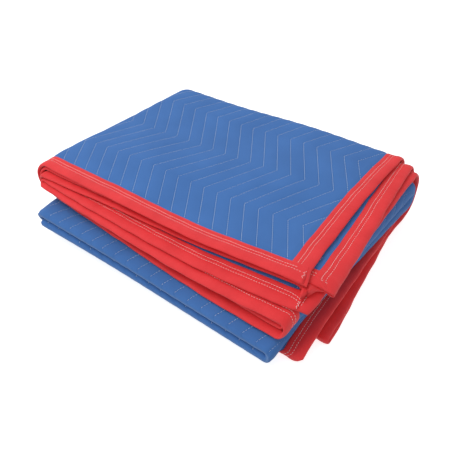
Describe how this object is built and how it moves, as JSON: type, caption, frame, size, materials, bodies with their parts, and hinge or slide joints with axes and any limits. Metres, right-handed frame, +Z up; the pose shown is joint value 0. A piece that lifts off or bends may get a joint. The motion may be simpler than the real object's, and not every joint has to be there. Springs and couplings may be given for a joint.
{
  "type": "folded quilted moving blanket",
  "caption": "Quilted moving blanket with bound edges, folded into a flat sixteen-layer pack.",
  "frame": {"origin": "centre of the folded pack's bounding box, at the surface it lies on", "axes": "+X along the longer side of the folded pack, from the left folds towards the loose ends; +Y across it towards the back fold; +Z up"},
  "size_m": [0.5594, 0.449, 0.1167],
  "materials": {
    "quilted_blue": "matt quilted non-woven cloth, blue",
    "binding_red": "matt woven binding tape, red"
  },
  "bodies": {
    "root": {"quilted_pad": "quilted_blue", "side_binding_near": "binding_red", "side_binding_far": "binding_red", "end_binding_first": "binding_red", "end_binding_last": "binding_red"}
  },
  "joints": []
}
